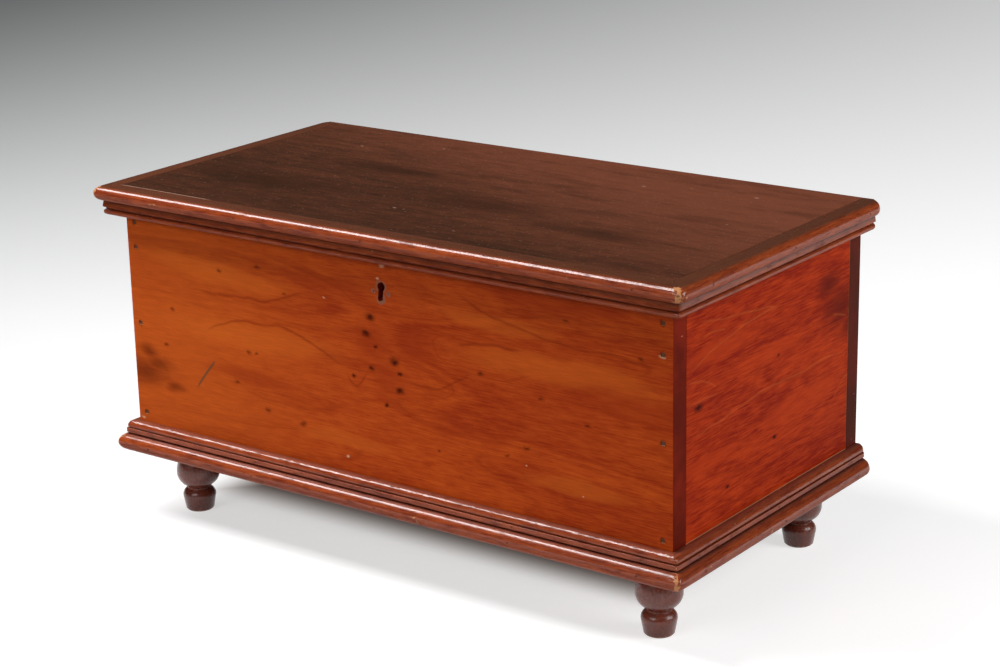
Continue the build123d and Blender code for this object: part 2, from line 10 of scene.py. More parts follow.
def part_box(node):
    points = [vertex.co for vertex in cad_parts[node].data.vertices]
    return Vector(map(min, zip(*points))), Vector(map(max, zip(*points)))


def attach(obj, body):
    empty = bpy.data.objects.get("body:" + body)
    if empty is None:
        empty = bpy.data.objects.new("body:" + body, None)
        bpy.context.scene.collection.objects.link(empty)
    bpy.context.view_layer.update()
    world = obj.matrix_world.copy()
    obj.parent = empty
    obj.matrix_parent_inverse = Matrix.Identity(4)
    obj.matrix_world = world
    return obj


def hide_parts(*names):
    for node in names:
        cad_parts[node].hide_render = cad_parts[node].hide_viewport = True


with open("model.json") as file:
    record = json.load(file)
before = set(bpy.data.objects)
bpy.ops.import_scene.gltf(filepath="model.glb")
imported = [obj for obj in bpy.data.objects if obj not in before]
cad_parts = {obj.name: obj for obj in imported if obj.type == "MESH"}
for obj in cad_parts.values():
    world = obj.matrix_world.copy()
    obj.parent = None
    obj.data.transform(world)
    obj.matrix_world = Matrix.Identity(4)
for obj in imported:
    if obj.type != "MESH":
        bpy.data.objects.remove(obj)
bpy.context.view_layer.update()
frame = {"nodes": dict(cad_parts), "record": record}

bl_info = {
    "name": "Small blanket chest",
    "version": (1, 0, 0),
    "blender": (4, 5, 0),
    "location": "3D View > Sidebar > Chest",
    "description": "Dresses a small six-board blanket chest in old varnished wood",
    "category": "Object",
}

MM = 0.001

# The case, as the CAD nodes give it
FRONT_LOW, FRONT_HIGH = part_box("front_board")
HALF_LENGTH = FRONT_HIGH.x
FRONT_Y = FRONT_LOW.y
BACK_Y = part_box("back_board")[1].y
CASE_TOP = FRONT_HIGH.z
PIN_LOW, PIN_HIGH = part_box("lock_key_pin")
KEYHOLE = (PIN_LOW + PIN_HIGH) / 2


def linear(hex_colour):
    """An sRGB hex colour as linear red, green and blue."""
    parts = [int(hex_colour[i:i + 2], 16) / 255 for i in (1, 3, 5)]
    return tuple(c / 12.92 if c <= 0.04045 else ((c + 0.055) / 1.055) ** 2.4 for c in parts)


def colour_property(name, description, hex_colour):
    return FloatVectorProperty(name=name, description=description, subtype="COLOR", size=3,
                               min=0, max=1, default=linear(hex_colour))


def length_property(name, description, millimetres):
    return FloatProperty(name=name, description=description, unit="LENGTH", min=0,
                         default=millimetres * MM)


def power_property(name, description, watts):
    return FloatProperty(name=name, description=description, unit="POWER", min=0, default=watts)


class CaseFinish(bpy.types.PropertyGroup):
    front_light: colour_property("Front light", "Light figure of the front board", "#B64B17")
    front_lobe: colour_property("Front lobes", "Palest lobes of the front board's figure", "#CC6420")
    front_dark: colour_property("Front dark", "Dark figure of the front board", "#8C2B0E")
    end_light: colour_property("End light", "Light figure of the end boards", "#B83C12")
    end_dark: colour_property("End dark", "Dark figure of the end boards", "#871D09")
    end_grain: colour_property("End grain", "Varnished end grain of the front and back boards", "#7E2210")
    back_grain: colour_property("Back end grain", "Blackened end grain of the back board", "#38261F")
    back_light: colour_property("Back light", "Light figure of the unvarnished back", "#A87046")
    back_dark: colour_property("Back dark", "Dark figure of the unvarnished back", "#7A4A2E")
    inside_light: colour_property("Inside light", "Light figure of the bare wood inside", "#B88C60")
    inside_dark: colour_property("Inside dark", "Dark figure of the bare wood inside", "#8E623E")
    end_line: colour_property("End line", "Thin pale growth lines of the right end board", "#CC6A30")
    gouge: colour_property("Gouge", "Old grey gouge in the front board", "#54412F")
    rim: colour_property("Keyhole rim", "Rubbed wood round the keyhole and the pin holes", "#7A6050")
    chip: colour_property("Chip", "Small pale chips in the varnish", "#C99C78")
    arris: length_property("Arris", "Width of the softened edges of the boards", 0.6)


class LidFinish(bpy.types.PropertyGroup):
    light: colour_property("Light", "Light figure of the lid's top", "#5C3323")
    dark: colour_property("Dark", "Dark figure of the lid's top", "#352117")
    # Painted sheen that lightens the back and right of the lid's top
    worn: colour_property("Worn", "Redder, lighter back and right of the lid's top", "#94523C")
    scuff: colour_property("Scuff", "Pale scuffs on the lid's top", "#A08070")
    arris: length_property("Arris", "Width of the softened edges of the lid board", 0.4)


class MouldingFinish(bpy.types.PropertyGroup):
    light: colour_property("Light", "Light figure of the mouldings", "#A2481E")
    dark: colour_property("Dark", "Dark figure of the mouldings", "#682210")
    bare: colour_property("Bare wood", "Wood where the varnish is worn through", "#C08458")
    nick: colour_property("Nicks", "Small pale nicks in the mouldings", "#BD9480")
    lid_top: colour_property("Lid top", "Darkened top of the lid's nosing", "#50301F")
    base_top: colour_property("Base top", "Dusty tops of the base mouldings", "#804636")
    arris: length_property("Arris", "Width of the softened edges of the mouldings", 0.35)
    ripple: length_property("Ripple", "How far the hand-planed faces wander", 0.12)


class FootFinish(bpy.types.PropertyGroup):
    light: colour_property("Light", "Light figure of the feet", "#7C3B2A")
    dark: colour_property("Dark", "Dark figure of the feet", "#431A13")
    bare: colour_property("Bare wood", "Worn edge round the bottom of each foot", "#B07C50")


class MetalFinish(bpy.types.PropertyGroup):
    iron: colour_property("Iron", "Dull aged iron of the lock and hinges", "#6A635C")
    rust: colour_property("Rust", "Brown rust on the iron", "#5A3220")
    nail: colour_property("Nail", "Dark rusted nail heads", "#5C3A26")


class StageFinish(bpy.types.PropertyGroup):
    floor: colour_property("Floor", "Pale floor round the chest", "#FFFFFF")
    # Painted shade of the paper far behind the chest
    far: colour_property("Far floor", "Floor far behind the chest", "#434646")
    shaded: colour_property("Shaded floor", "Floor under the chest, where no light comes", "#7C6A60")
    wide_power: power_property("Wide power", "Power of the wide lamp above", 60)
    front_power: power_property("Front power", "Power of the soft lamp in front", 21)
    side_power: power_property("Side power", "Power of the lamp at the right", 34)


MATH = "ShaderNodeMath"
VECTOR_MATH = "ShaderNodeVectorMath"
RANGE = "ShaderNodeMapRange"
MIX = "ShaderNodeMix"


def add_node(tree, kind, inputs=(), output=0, **settings):
    """Adds a node with its settings and links, and gives one of its output sockets.

    inputs holds values or other nodes' sockets, in the order of the node's own inputs or by their keys.
    """
    node = tree.nodes.new(kind)
    for name, value in settings.items():
        setattr(node, name, value)
    if not isinstance(inputs, dict):
        inputs = dict(enumerate(inputs))
    for key, value in inputs.items():
        socket = node.inputs[key]
        if isinstance(value, bpy.types.NodeSocket):
            tree.links.new(value, socket)
        elif socket.type == "RGBA" and len(value) == 3:
            socket.default_value = (*value, 1)
        else:
            socket.default_value = value
    return node.outputs[output] if node.outputs else None


def empty_tree(owner):
    """The node tree of a material or a world, cleared of the nodes that it starts with."""
    owner.use_nodes = True
    owner.node_tree.nodes.clear()
    return owner.node_tree


def new_material(name):
    """An empty material and its tree, shader and object coordinates."""
    material = bpy.data.materials.new(name)
    tree = empty_tree(material)
    surface = add_node(tree, "ShaderNodeBsdfPrincipled")
    add_node(tree, "ShaderNodeOutputMaterial", {"Surface": surface})
    place = add_node(tree, "ShaderNodeTexCoord", output="Object")
    return material, tree, surface.node, place


def grain_noise(tree, place, along, across, detail=2.0, rough=0.5, turn=(0, 0, 0), shift=(0, 0, 0)):
    """Noise with features along metres long on the turned X and across metres wide on Y and Z."""
    mapped = add_node(tree, "ShaderNodeMapping", {
        "Vector": place, "Location": shift, "Rotation": turn, "Scale": (along, across, across)},
        vector_type="TEXTURE")
    return add_node(tree, "ShaderNodeTexNoise", {"Vector": mapped, "Scale": 1.0, "Detail": detail,
                                                 "Roughness": rough})


def layered(tree, colour, layers):
    """Lays colours over a colour, one after the other. Each layer is a mask, its share and a colour."""
    for mask, share, tint in layers:
        mask = add_node(tree, MATH, [mask, share], operation="MULTIPLY")
        colour = add_node(tree, MIX, {0: mask, 6: colour, 7: tint}, 2, data_type="RGBA",
                          clamp_factor=True)
    return colour


# The grain runs along X, and along Y on the end boards and the side strips
LENGTHWISE = (0, 0, 0)
CROSSWISE = (0, 0, math.radians(90))


def darker(colour, share):
    """The same colour with that share of its light."""
    return tuple(c * share for c in colour)


def plain_sawn(tree, place, light, dark, turn=(0, 0, 0), shift=(0, 0, 0), figure=(0.42, 0.07),
               rings=8.0, fibre=0.5, bend=0.0):
    """Colour and fibres of a plain-sawn board: growth rings cut at a slant, with fibres along them.

    A slowly bending field counts the rings. Each ring has a tone of its own and a thin dark rim.
    figure is the length and width of the field's features in metres, rings how many it counts, fibre
    how strongly the fibres show, and bend a pattern that the rings bend round.
    """
    field = grain_noise(tree, place, *figure, 1.5, 0.4, turn, shift)
    field = add_node(tree, MATH, [field, rings, bend], operation="MULTIPLY_ADD")
    bands = add_node(tree, "ShaderNodeTexNoise", {"W": field, "Scale": 1.0, "Detail": 3.0,
                                                  "Roughness": 0.5}, noise_dimensions="1D")
    tone = add_node(tree, RANGE, [bands, 0.12, 0.88], interpolation_type="SMOOTHSTEP")
    # Real fibres are finer than a pixel, so these are drawn about 1 mm across
    fibres = grain_noise(tree, place, 20 * MM, 1.1 * MM, 3.0, 0.7, turn, shift)
    mottle = grain_noise(tree, place, 22 * MM, 7 * MM, 4.0, 0.6, turn, shift)
    for texture, reach in ((fibres, 1.3 * fibre), (mottle, 0.6 * fibre)):
        change = add_node(tree, RANGE, [texture, 0.25, 0.75, -reach, reach])
        tone = add_node(tree, MATH, [tone, change], operation="ADD")
    colour = add_node(tree, MIX, {0: tone, 6: dark, 7: light}, 2, data_type="RGBA", clamp_factor=True)
    rim = add_node(tree, MATH, [field, 0.5], operation="PINGPONG")
    rim = add_node(tree, RANGE, [rim, 0.0, 0.05, 1.0, 0.0], interpolation_type="SMOOTHSTEP")
    # Short dark dashes stand for the pores
    aside = (shift[0] + 3, shift[1], shift[2])
    pores = grain_noise(tree, place, 9 * MM, 0.9 * MM, 1.0, 0.5, turn, aside)
    pores = add_node(tree, RANGE, [pores, 0.66, 0.8], interpolation_type="SMOOTHSTEP")
    colour = layered(tree, colour, ((rim, 0.3, darker(dark, 0.8)), (pores, 0.5, darker(dark, 0.35))))
    return colour, fibres


def uneven(tree, place, size, reach):
    """The place moved about by noise, so that what is drawn with it gets uneven edges."""
    scaled = add_node(tree, VECTOR_MATH, {0: place, 3: 1 / size}, operation="SCALE")
    noises = add_node(tree, "ShaderNodeTexNoise", {"Vector": scaled, "Scale": 1.0, "Detail": 2.0}, 1)
    middled = add_node(tree, VECTOR_MATH, [noises, (0.5, 0.5, 0.5)], operation="SUBTRACT")
    moved = add_node(tree, VECTOR_MATH, {0: middled, 3: 2 * reach}, operation="SCALE")
    return add_node(tree, VECTOR_MATH, [place, moved], operation="ADD")


def marks(tree, place, squeeze, places, core=0.4):
    """1 inside the core of any of the marks, and 0 outside them.

    Each mark is its two places across the face and its radius, in millimetres. squeeze is 0 on the
    axis that looks out of the face, and under 1 where marks are drawn out along the grain. core is the
    share of the radius from which a mark fades.
    """
    squeezed = add_node(tree, VECTOR_MATH, [place, squeeze], operation="MULTIPLY")
    inside = 0.0
    for across, height, radius in places:
        middle = Vector((across, across, height)) * MM * Vector(squeeze)
        away = add_node(tree, VECTOR_MATH, [squeezed, middle], "Value", operation="DISTANCE")
        near = add_node(tree, RANGE, [away, core * radius * MM, radius * MM, 1.0, 0.0],
                        interpolation_type="SMOOTHSTEP")
        inside = add_node(tree, MATH, [inside, near], operation="MAXIMUM")
    return inside


def bowed_lines(tree, place, axis, lines, width):
    """1 on thin bowed lines that fade at their ends.

    Each line is its start, its end and its bow upwards in the middle, in millimetres. axis is X or Y.
    """
    parts = add_node(tree, "ShaderNodeSeparateXYZ", [place]).node.outputs
    along, height = parts[axis], parts["Z"]
    inside = 0.0
    for (start, start_z), (end, end_z), bow in lines:
        share = add_node(tree, RANGE, [along, start * MM, end * MM, -1.0, 1.0], clamp=False)
        straight = add_node(tree, RANGE, [share, -1.0, 1.0, start_z * MM, end_z * MM], clamp=False)
        square = add_node(tree, MATH, [share, share], operation="MULTIPLY")
        arch = add_node(tree, RANGE, [square, 0.0, 1.0, bow * MM, 0.0], clamp=False)
        middle = add_node(tree, MATH, [straight, arch], operation="ADD")
        above = add_node(tree, MATH, [height, middle], operation="SUBTRACT")
        away = add_node(tree, MATH, [above], operation="ABSOLUTE")
        near = add_node(tree, RANGE, [away, 0.0, width, 1.0, 0.0], interpolation_type="SMOOTHSTEP")
        fade = add_node(tree, RANGE, [square, 0.5, 1.0, 1.0, 0.0], interpolation_type="SMOOTHSTEP")
        near = add_node(tree, MATH, [near, fade], operation="MULTIPLY")
        inside = add_node(tree, MATH, [inside, near], operation="MAXIMUM")
    return inside


def old_varnish(tree, shader, colour, rough=0.5, specular=0.01, coat=0.03, coat_rough=0.16):
    """Old spirit varnish: a thin clear film over stained wood, soft on boards, glossy on turnings."""
    tree.links.new(colour, shader.inputs["Base Color"])
    for name, value in (("Roughness", rough), ("Specular IOR Level", specular), ("Coat Weight", coat),
                        ("Coat Roughness", coat_rough), ("Coat IOR", 1.5)):
        shader.inputs[name].default_value = value


def add_relief(tree, shader, fibres, depth, ripple=None):
    """Bumps of the fibres under the varnish, and slow waves of the brushed film on a planed board."""
    bump = add_node(tree, "ShaderNodeBump", {"Height": fibres, "Distance": depth})
    tree.links.new(bump, shader.inputs["Normal"])
    if ripple is not None:
        coat = add_node(tree, "ShaderNodeBump", {"Height": ripple, "Distance": 0.25 * MM})
        tree.links.new(coat, shader.inputs["Coat Normal"])


# What shows on the front board, in millimetres along X and up. Most places are to the nearest 5 mm.
# Knots, specks, stains, clouds, lobes and chips are two places and a radius each, and lines are their
# start, their end and their bow. First come the knots under the keyhole.
KNOTS = ((-10, 235, 5.5), (-15, 220, 5), (15, 200, 6), (20, 190, 3), (20, 175, 5), (5, 160, 3),
         (-10, 190, 4), (-30, 180, 3), (-5, 210, 2.5))
FRONT_SPECKS = ((-180, 250, 2.5), (-135, 260, 3), (-105, 240, 2), (-150, 180, 2.5), (-140, 180, 2),
                (-130, 130, 3), (-90, 125, 3.5), (-165, 150, 2.5), (105, 205, 2.5), (190, 265, 2.5),
                (165, 195, 2.5), (150, 150, 3), (130, 140, 2.5), (260, 245, 2.5), (210, 180, 2),
                (60, 130, 2), (-240, 205, 2.5), (-250, 170, 2.5))
FRONT_STAINS = ((-275, 140, 20), (-260, 150, 13), (-270, 160, 9), (-240, 130, 8))
KNOT_CLOUDS = ((-5, 210, 26), (10, 185, 22), (35, 220, 30))
PALE_LOBES = ((-170, 245, 13), (-150, 195, 17), (-215, 250, 9), (180, 220, 17), (120, 250, 10),
              (-40, 120, 9), (200, 125, 9))
DARK_LOBES = ((180, 280, 14), (255, 205, 16), (90, 150, 8), (-150, 160, 9), (-60, 260, 8))
DARK_LINES = (((-215, 230), (-75, 245), -7), ((25, 185), (95, 205), -7),
              ((-205, 190), (-40, 180), 26), ((75, 270), (285, 240), -10),
              ((80, 225), (145, 230), 4), ((-40, 180), (-15, 185), -10))
GOUGE = (((-215, 135), (-190, 165), 1),)
FRONT_CHIPS = ((280, 250, 2.5), (-40, 105, 1.5), (5, 282, 2.5), (0, 270, 1.5), (-285, 95, 2),
               (150, 135, 1), (205, 120, 1), (-60, 245, 1))

# Rubbed wood round the keyhole, whose foot is below its round head, and round the two pin holes of a
# lost escutcheon, one on each side
KEYHOLE_X, KEYHOLE_Z = KEYHOLE.x / MM, KEYHOLE.z / MM
KEYHOLE_FOOT = 10.5
PIN_HOLE_ASIDE, PIN_HOLE_BELOW = 8, 5
KEYHOLE_RIM = ((KEYHOLE_X, KEYHOLE_Z, 6.2), (KEYHOLE_X, KEYHOLE_Z - KEYHOLE_FOOT, 5.6),
               (KEYHOLE_X - PIN_HOLE_ASIDE, KEYHOLE_Z - PIN_HOLE_BELOW, 2.6),
               (KEYHOLE_X + PIN_HOLE_ASIDE, KEYHOLE_Z - PIN_HOLE_BELOW, 2.6))

# How far below the boards' tops the painted shadow under the lid's lip may start, and where it is full
LIP_SHADE_START, LIP_SHADE_END = 30 * MM, 25 * MM


def head_places(node):
    """Middles of the nail heads on the front, along X and up, in millimetres."""
    bm = merged_copy(node)
    outermost = min(vert.co.y for vert in bm.verts)
    places = []
    for face in bm.faces:
        middle = face.calc_center_median()
        if middle.y < outermost + 0.1 * MM:
            places.append((middle.x / MM, middle.z / MM))
    bm.free()
    return places


def under_lid(tree, place):
    """1 along the painted shadow where a board goes up behind the lid's lip."""
    open_share = add_node(tree, "ShaderNodeAmbientOcclusion", {"Distance": 8 * MM}, "AO", samples=2)
    hidden = add_node(tree, RANGE, [open_share, 0.6, 0.95, 1.0, 0.0], interpolation_type="SMOOTHSTEP")
    height = add_node(tree, "ShaderNodeSeparateXYZ", [place], "Z")
    high = add_node(tree, RANGE, [height, CASE_TOP - LIP_SHADE_START, CASE_TOP - LIP_SHADE_END])
    return add_node(tree, MATH, [hidden, high], operation="MULTIPLY")


def varnished_front(finish):
    """Stained poplar under old varnish: orange-brown with pale lobed figure, knots and a few knocks."""
    material, tree, shader, place = new_material("varnished_poplar_front")
    drawn_out = (0.13, 0, 1)
    wavy = uneven(tree, place, 60 * MM, 9 * MM)
    ragged = uneven(tree, place, 5 * MM, 2.2 * MM)
    # The lid's lip casts a painted shadow along the board's top
    shade = under_lid(tree, place)
    bend = marks(tree, wavy, (0.6, 0, 1), ((0, 200, 75),), 0.0)
    colour, fibres = plain_sawn(tree, place, finish.front_light, finish.front_dark, shift=(0.4, 0, 1.3),
                                fibre=0.38, bend=bend)
    nails = [(x, z, 4.0) for x, z in head_places("front_nails")]
    # The dark of the soot round the nail heads, also used for the lip's painted shadow
    soot_and_shadow = darker(finish.front_dark, 0.1)
    # Painted light: the left of the board is paler
    along = add_node(tree, "ShaderNodeSeparateXYZ", [place], "X")
    painted_left_light = add_node(tree, RANGE, [along, -240 * MM, 0.0, 1.0, 0.0], interpolation_type="SMOOTHSTEP")
    colour = layered(tree, colour, (
        (painted_left_light, 0.3, finish.front_lobe),
        (marks(tree, wavy, drawn_out, PALE_LOBES), 0.35, finish.front_lobe),
        (marks(tree, wavy, drawn_out, DARK_LOBES), 0.4, finish.front_dark),
        (marks(tree, wavy, (0.8, 0, 1), KNOT_CLOUDS, 0.2), 0.45, finish.front_dark),
        (bowed_lines(tree, wavy, "X", DARK_LINES, 2.2 * MM), 0.5, darker(finish.front_dark, 0.7)),
        (marks(tree, wavy, (0.45, 0, 1), FRONT_STAINS, 0.0), 0.65, darker(finish.front_dark, 0.3)),
        (marks(tree, ragged, (0.7, 0, 1), KNOTS, 0.0), 1.0, darker(finish.front_dark, 0.2)),
        (marks(tree, ragged, (0.5, 0, 1), FRONT_SPECKS, 0.0), 0.7, darker(finish.front_dark, 0.2)),
        (marks(tree, ragged, (1, 0, 1), nails, 0.2), 0.6, soot_and_shadow),
        (bowed_lines(tree, place, "X", GOUGE, 3.0 * MM), 0.9, finish.gouge),
        (marks(tree, ragged, (1, 0, 1), KEYHOLE_RIM, 0.75), 0.6, finish.rim),
        (marks(tree, ragged, (0.6, 0, 1), FRONT_CHIPS, 0.3), 0.8, finish.chip),
        # The lip's painted shadow
        (shade, 0.85, soot_and_shadow)))
    old_varnish(tree, shader, colour)
    add_relief(tree, shader, fibres, 0.05 * MM, grain_noise(tree, place, 0.09, 0.022))
    return material


# What shows on the right end board, in millimetres along Y and up, as on the front
END_PALE_LINES = (((-120, 175), (145, 180), 8), ((-120, 230), (25, 250), 9),
                  ((-105, 270), (25, 250), 1), ((-100, 255), (-65, 255), 2),
                  ((-120, 225), (-75, 210), 3), ((-120, 205), (-75, 205), 0),
                  ((115, 145), (145, 160), 3), ((110, 220), (135, 215), 1))
END_KNOTS = ((-105, 200, 5), (15, 140, 3), (-60, 120, 2.5), (20, 210, 2))
END_CLOUDS = ((125, 225, 30), (105, 250, 20), (140, 205, 18))
END_PALE_LOBES = ((-70, 240, 12), (60, 160, 14), (-90, 150, 10), (20, 215, 9))

# Pale wax where the board stands against the top of the base moulding, 91 mm up
END_WAX = (((-160, 91), (180, 91), 0),)


def varnished_end(finish, name, figured):
    """Stained poplar of the end boards, redder, with thin pale growth lines on the one that shows."""
    material, tree, shader, place = new_material(name)
    colour, fibres = plain_sawn(tree, place, finish.end_light, finish.end_dark, CROSSWISE,
                                (0.1, 0.7, 0.2), fibre=0.6)
    if figured:
        wavy = uneven(tree, place, 50 * MM, 5 * MM)
        ragged = uneven(tree, place, 5 * MM, 1.6 * MM)
        # The lid's lip casts a painted shadow along the board's top
        shade = under_lid(tree, place)
        colour = layered(tree, colour, (
            (shade, 0.7, darker(finish.end_dark, 0.15)),
            (marks(tree, wavy, (0, 0.16, 1), END_PALE_LOBES), 0.5, finish.end_light),
            (marks(tree, wavy, (0, 0.6, 1), END_CLOUDS, 0.0), 0.8, darker(finish.end_dark, 0.4)),
            (bowed_lines(tree, wavy, "Y", END_PALE_LINES, 1.6 * MM), 0.22, finish.end_line),
            (bowed_lines(tree, place, "Y", END_WAX, 1.1 * MM), 0.6, finish.chip),
            (marks(tree, ragged, (0, 0.5, 1), END_KNOTS, 0.0), 1.0, darker(finish.end_dark, 0.15))))
    old_varnish(tree, shader, colour)
    add_relief(tree, shader, fibres, 0.05 * MM, grain_noise(tree, place, 0.022, 0.09))
    return material


def varnished_end_grain(finish):
    """End grain drinks the stain, so it is almost black-brown, with faint ring lines and pale nicks."""
    material, tree, shader, place = new_material("varnished_end_grain")
    rings = grain_noise(tree, place, 0.012, 0.05, 3.0, 0.6)
    nicks = grain_noise(tree, place, 2.5 * MM, 4 * MM, 1.0)
    rings = add_node(tree, RANGE, [rings, 0.35, 0.65], interpolation_type="SMOOTHSTEP")
    nicks = add_node(tree, RANGE, [nicks, 0.74, 0.8])
    # The back board's has had less sun and more hands on it, so it is nearly black
    depth = add_node(tree, "ShaderNodeSeparateXYZ", [place], "Y")
    back = add_node(tree, RANGE, [depth, 0.0, 0.1])
    colour = layered(tree, finish.end_grain, (
        (rings, 0.75, darker(finish.end_grain, 0.4)), (back, 0.6, finish.back_grain),
        (nicks, 0.7, finish.chip)))
    old_varnish(tree, shader, colour, 0.6, coat=0.03, coat_rough=0.3)
    return material


def bare_board(name, light, dark, turn=LENGTHWISE):
    """Unvarnished poplar, dulled by age and dust."""
    material, tree, shader, place = new_material(name)
    colour, fibres = plain_sawn(tree, place, light, dark, turn, (2.0, 1.0, 0.5), fibre=0.45)
    tree.links.new(colour, shader.inputs["Base Color"])
    shader.inputs["Roughness"].default_value = 0.8
    shader.inputs["Specular IOR Level"].default_value = 0.25
    add_relief(tree, shader, fibres, 0.15 * MM)
    return material


# Dark streaks and scuffs of the lid's top, in millimetres along X and Y, to the nearest 5 mm
LID_STREAKS = ((30, -30, 30), (170, -60, 25), (-200, -60, 40), (-120, 30, 30))
LID_SCUFFS = ((-30, -80, 1.5), (-20, -80, 1), (110, 95, 1.5), (150, 110, 1), (215, 110, 2),
              (-130, 120, 1.5), (60, -115, 1), (-205, 90, 1.5), (240, 20, 1))

# The seam between the lid board and the front nosing, which shows pale at its left end
SEAM_Y = -143.5
LID_SEAM = (((-300, SEAM_Y), (-180, SEAM_Y), 0),)


def varnished_lid(finish):
    """The lid's top is darkened by age and polish: very dark brown, with a redder painted sheen at the
    back and right.
    """
    material, tree, shader, place = new_material("darkened_varnished_lid")
    colour, fibres = plain_sawn(tree, place, finish.light, finish.dark, shift=(1.4, 0.3, 0.6),
                                figure=(0.6, 0.06), rings=6.0, fibre=0.45)
    parts = add_node(tree, "ShaderNodeSeparateXYZ", [place]).node.outputs
    along = add_node(tree, RANGE, [parts["X"], -0.31, 0.31, 0.0, 0.5])
    across = add_node(tree, RANGE, [parts["Y"], -0.16, 0.16, 0.0, 0.5])
    # From 0 at the front left corner to 1 at the back right one
    corner = add_node(tree, MATH, [along, across], operation="ADD")
    # Painted shade darkens the front left, and a painted sheen lightens the back right
    painted_front_shade = add_node(tree, RANGE, [corner, 0.15, 0.6, 1.0, 0.0], interpolation_type="SMOOTHSTEP")
    worn = add_node(tree, RANGE, [corner, 0.35, 0.9], interpolation_type="SMOOTHSTEP")
    flat = add_node(tree, "ShaderNodeCombineXYZ", [parts["X"], 0.0, parts["Y"]])
    wavy = uneven(tree, flat, 60 * MM, 9 * MM)
    ragged = uneven(tree, flat, 3 * MM, 1.2 * MM)
    patches = add_node(tree, RANGE, [grain_noise(tree, place, 0.09, 0.02, 4.0, 0.6), 0.5, 0.68],
                       interpolation_type="SMOOTHSTEP")
    dust = add_node(tree, RANGE, [grain_noise(tree, place, 2.5 * MM, 1.8 * MM, 1.0), 0.68, 0.76])
    colour = layered(tree, colour, (
        (painted_front_shade, 0.45, darker(finish.dark, 0.6)), (worn, 0.42, finish.worn),
        (patches, 0.3, darker(finish.dark, 0.7)), (dust, 0.3, finish.scuff),
        (marks(tree, wavy, (0.3, 0, 1), LID_STREAKS, 0.0), 0.6, darker(finish.dark, 0.6)),
        (marks(tree, ragged, (0.6, 0, 1), LID_SCUFFS, 0.3), 0.6, finish.scuff),
        (bowed_lines(tree, flat, "X", LID_SEAM, 1.3 * MM), 0.7, finish.scuff)))
    old_varnish(tree, shader, colour, 0.6, coat=0.05, coat_rough=0.3)
    add_relief(tree, shader, fibres, 0.05 * MM, grain_noise(tree, place, 0.09, 0.022))
    return material


def varnished_moulding(finish, name, turn, top):
    """Red-brown planed moulding, glossy, with painted shade in its hollows and bare where its edges are
    knocked.
    """
    material, tree, shader, place = new_material(name)
    colour, fibres = plain_sawn(tree, place, finish.light, finish.dark, turn, (0.9, 0.2, 0.4),
                                (0.2, 0.012), 2.0, fibre=0.4)
    crumbs = grain_noise(tree, place, 3.0 * MM, 1.8 * MM, 4.0, 0.65, turn)
    smears = grain_noise(tree, place, 14 * MM, 3.0 * MM, 4.0, 0.65, turn, (5.0, 0, 0))
    upward = add_node(tree, "ShaderNodeAttribute", output="Fac", attribute_name="upward")
    worn = add_node(tree, "ShaderNodeAttribute", output="Fac", attribute_name="worn")
    # Painted shade darkens the hollows where neighbours stand within 5 mm
    open_share = add_node(tree, "ShaderNodeAmbientOcclusion", {"Distance": 5 * MM}, "AO", samples=2)
    painted_hollow_shade = add_node(tree, RANGE, [open_share, 0.2, 0.75, 1.0, 0.0])
    dirt = add_node(tree, RANGE, [smears, 0.52, 0.66], interpolation_type="SMOOTHSTEP")
    bare = add_node(tree, MATH, [crumbs, 1.2, worn], operation="MULTIPLY_ADD")
    stripped = add_node(tree, RANGE, [bare, 1.0, 1.14], interpolation_type="SMOOTHSTEP")
    split = add_node(tree, RANGE, [smears, 0.56, 0.6], interpolation_type="SMOOTHSTEP")
    nicks = add_node(tree, RANGE, [crumbs, 0.7, 0.74], interpolation_type="SMOOTHSTEP")
    wood = layered(tree, finish.bare, ((split, 0.8, darker(finish.bare, 0.25)),))
    # Over the figure go the tops, dirt, the hollows' painted shade, nicks and bare wood
    colour = layered(tree, colour, (
        (upward, 0.85, top), (dirt, 0.45, darker(finish.dark, 0.5)),
        (painted_hollow_shade, 0.95, darker(finish.dark, 0.2)), (nicks, 0.6, finish.nick), (stripped, 1.0, wood)))
    old_varnish(tree, shader, colour, 0.45, 0.05, 0.7, 0.11)
    # Bare wood and dirt have lost their shine
    dull = add_node(tree, MATH, [stripped, dirt], operation="MAXIMUM")
    shine = add_node(tree, RANGE, [dull, 0.0, 1.0, 0.85, 0.45])
    # Faces that look down shine less, wherever the lid stands
    facing = add_node(tree, "ShaderNodeNewGeometry", output="Normal")
    facing = add_node(tree, "ShaderNodeSeparateXYZ", [facing], "Z")
    rubbed = add_node(tree, RANGE, [facing, -0.3, 0.25, 0.15, 1.0])
    shine = add_node(tree, MATH, [shine, rubbed], operation="MULTIPLY")
    tree.links.new(shine, shader.inputs["Coat Weight"])
    # The film has gone crumbly, which breaks its shine up into specks
    crumbly = add_node(tree, RANGE, [crumbs, 0.4, 0.7, 0.09, 0.3])
    tree.links.new(crumbly, shader.inputs["Coat Roughness"])
    film = add_node(tree, MATH, [crumbs, 0.14, grain_noise(tree, place, 0.06, 0.016, 2.0, 0.5, turn)],
                    operation="MULTIPLY_ADD")
    add_relief(tree, shader, fibres, 0.06 * MM, film)
    return material


